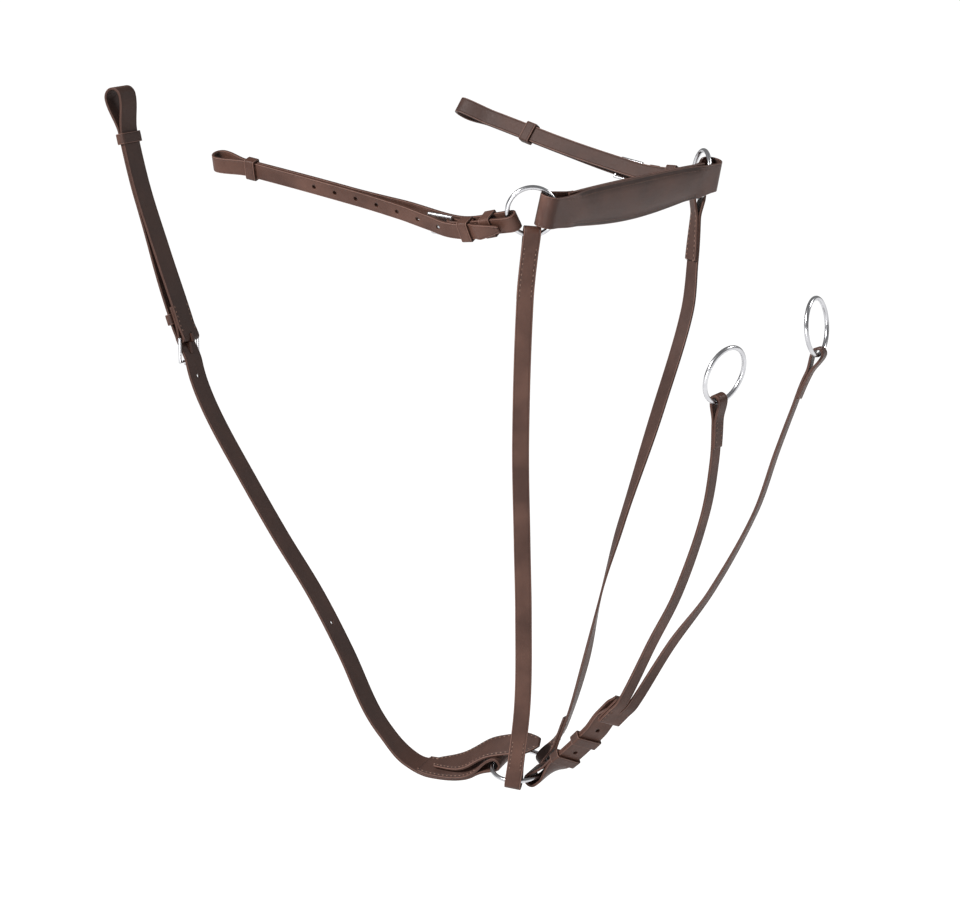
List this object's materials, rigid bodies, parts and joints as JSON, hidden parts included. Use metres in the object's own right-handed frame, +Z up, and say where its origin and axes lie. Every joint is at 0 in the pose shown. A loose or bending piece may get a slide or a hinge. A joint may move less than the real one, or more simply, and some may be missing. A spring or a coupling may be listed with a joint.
{
  "type": "hunting breastplate with running martingale",
  "caption": "Leather hunting breastplate with a padded wither band, saddle straps, girth strap and a running martingale fork with rein rings.",
  "frame": {"origin": "midway between the centres of the two wither rings, at the withers", "axes": "+X forward along the horse, +Y to the horse's left, +Z up"},
  "size_m": [0.8023, 0.3549, 0.6628],
  "materials": {
    "strap_leather": "smooth havana bridle leather with burnished edges and tone-on-tone stitching",
    "pad_leather": "soft grained leather over foam",
    "lining_leather": "soft suede-backed lining leather",
    "pad_foam": "soft closed-cell foam, hidden",
    "ring_metal": "polished stainless steel wire",
    "buckle_metal": "polished stainless steel"
  },
  "bodies": {
    "pad": {"wither_pad_cover": "pad_leather", "wither_pad_lining": "lining_leather", "wither_pad_foam": "pad_foam"},
    "wither_ring_right": {"wither_ring_right": "ring_metal"},
    "wither_ring_left": {"wither_ring_left": "ring_metal"},
    "neck_straps": {"neck_strap_right": "strap_leather", "neck_strap_left": "strap_leather"},
    "chest_ring": {"chest_ring": "ring_metal"},
    "girth": {"girth_strap": "strap_leather", "ring_guard": "strap_leather", "girth_buckle_keeper": "strap_leather"},
    "girth_loop_keeper": {"girth_loop_keeper": "strap_leather"},
    "girth_buckle": {"girth_buckle": "buckle_metal"},
    "girth_tongue": {"girth_tongue": "buckle_metal"},
    "martingale": {"martingale_fork": "strap_leather", "martingale_ring_strap": "strap_leather", "martingale_stud": "buckle_metal", "martingale_keeper_lower": "strap_leather"},
    "martingale_keeper_upper": {"martingale_keeper_upper": "strap_leather"},
    "rein_ring_right": {"rein_ring_right": "ring_metal"},
    "rein_ring_left": {"rein_ring_left": "ring_metal"},
    "saddle_right": {"saddle_strap_right": "strap_leather", "saddle_ring_keeper_right": "strap_leather", "saddle_buckle_keeper_right": "strap_leather"},
    "saddle_loop_keeper_right": {"saddle_loop_keeper_right": "strap_leather"},
    "saddle_buckle_right": {"saddle_buckle_right": "buckle_metal"},
    "saddle_tongue_right": {"saddle_tongue_right": "buckle_metal"},
    "saddle_left": {"saddle_strap_left": "strap_leather", "saddle_ring_keeper_left": "strap_leather", "saddle_buckle_keeper_left": "strap_leather"},
    "saddle_loop_keeper_left": {"saddle_loop_keeper_left": "strap_leather"},
    "saddle_buckle_left": {"saddle_buckle_left": "buckle_metal"},
    "saddle_tongue_left": {"saddle_tongue_left": "buckle_metal"}
  },
  "joints": [
    {"name": "wither_ring_right_turn", "type": "hinge", "parent": "pad", "child": "wither_ring_right", "pos_m": [0, -0.145, 0], "axis": [0.6249, -0.766, -0.1512], "continuous": true},
    {"name": "wither_ring_left_turn", "type": "hinge", "parent": "pad", "child": "wither_ring_left", "pos_m": [0, 0.145, 0], "axis": [0.6249, 0.766, -0.1512], "continuous": true},
    {"name": "neck_swing", "type": "hinge", "parent": "pad", "child": "neck_straps", "pos_m": [-0.00217, 0, -0.02249], "axis": [0, 1, 0], "range_deg": [-8, 8]},
    {"name": "chest_ring_turn", "type": "hinge", "parent": "neck_straps", "child": "chest_ring", "pos_m": [-0.112, 0, -0.579], "axis": [0.1, -0.2799, 0.9548], "continuous": true},
    {"name": "girth_swing", "type": "hinge", "parent": "neck_straps", "child": "girth", "pos_m": [-0.1391, -0.0016, -0.57663], "axis": [0.0318, -0.9582, -0.2843], "range_deg": [-4, 12]},
    {"name": "martingale_swing", "type": "hinge", "parent": "neck_straps", "child": "martingale", "pos_m": [-0.08496, -0.00114, -0.58217], "axis": [0.0724, 0.9591, 0.2736], "range_deg": [-5, 8]},
    {"name": "rein_ring_right_swing", "type": "hinge", "parent": "martingale", "child": "rein_ring_right", "pos_m": [0.15533, -0.06912, -0.17189], "axis": [0.1304, 0.9915, 0], "range_deg": [-35, 35]},
    {"name": "rein_ring_left_swing", "type": "hinge", "parent": "martingale", "child": "rein_ring_left", "pos_m": [0.17738, 0.07241, -0.14764], "axis": [-0.1709, 0.9853, 0], "range_deg": [-35, 35]},
    {"name": "saddle_swing_right", "type": "hinge", "parent": "pad", "child": "saddle_right", "pos_m": [-0.0168, -0.15676, -0.00986], "axis": [-0.2538, -0.3824, 0.8885], "range_deg": [-8, 8]},
    {"name": "saddle_buckle_swing_right", "type": "hinge", "parent": "saddle_right", "child": "saddle_buckle_right", "pos_m": [-0.07972, -0.15821, -0.01962], "axis": [-0.0745, 0.3956, -0.9154], "range_deg": [0, 8]},
    {"name": "saddle_tongue_swing_right", "type": "hinge", "parent": "saddle_right", "child": "saddle_tongue_right", "pos_m": [-0.07972, -0.15821, -0.01962], "axis": [-0.0745, 0.3956, -0.9154], "range_deg": [0, 14]},
    {"name": "saddle_loop_keeper_slide_right", "type": "slide", "parent": "saddle_right", "child": "saddle_loop_keeper_right", "axis": [-0.9925, -0.0078, 0.1219], "range_m": [-0.008, 0.0025]},
    {"name": "saddle_swing_left", "type": "hinge", "parent": "pad", "child": "saddle_left", "pos_m": [-0.01708, 0.1572, -0.00879], "axis": [-0.2148, 0.3548, 0.9099], "range_deg": [-8, 8]},
    {"name": "saddle_buckle_swing_left", "type": "hinge", "parent": "saddle_left", "child": "saddle_buckle_left", "pos_m": [-0.08094, 0.15857, -0.00731], "axis": [0.1415, 0.5046, 0.8517], "range_deg": [0, 8]},
    {"name": "saddle_tongue_swing_left", "type": "hinge", "parent": "saddle_left", "child": "saddle_tongue_left", "pos_m": [-0.08094, 0.15857, -0.00731], "axis": [0.1415, 0.5046, 0.8517], "range_deg": [0, 14]},
    {"name": "saddle_loop_keeper_slide_left", "type": "slide", "parent": "saddle_left", "child": "saddle_loop_keeper_left", "axis": [-0.9715, 0.0296, 0.2353], "range_m": [-0.008, 0.0025]},
    {"name": "girth_buckle_swing", "type": "hinge", "parent": "girth", "child": "girth_buckle", "pos_m": [-0.52181, 0, -0.19372], "axis": [0, 1, 0], "range_deg": [-5, 0]},
    {"name": "girth_tongue_swing", "type": "hinge", "parent": "girth", "child": "girth_tongue", "pos_m": [-0.52181, 0, -0.19372], "axis": [0, 1, 0], "range_deg": [0, 8]},
    {"name": "girth_loop_keeper_slide", "type": "slide", "parent": "girth", "child": "girth_loop_keeper", "axis": [-0.2553, 0, 0.9669], "range_m": [-0.008, 0.0025]},
    {"name": "martingale_keeper_slide", "type": "slide", "parent": "martingale", "child": "martingale_keeper_upper", "axis": [0.7088, -0.0014, 0.7054], "range_m": [-0.004, 0.004]}
  ]
}
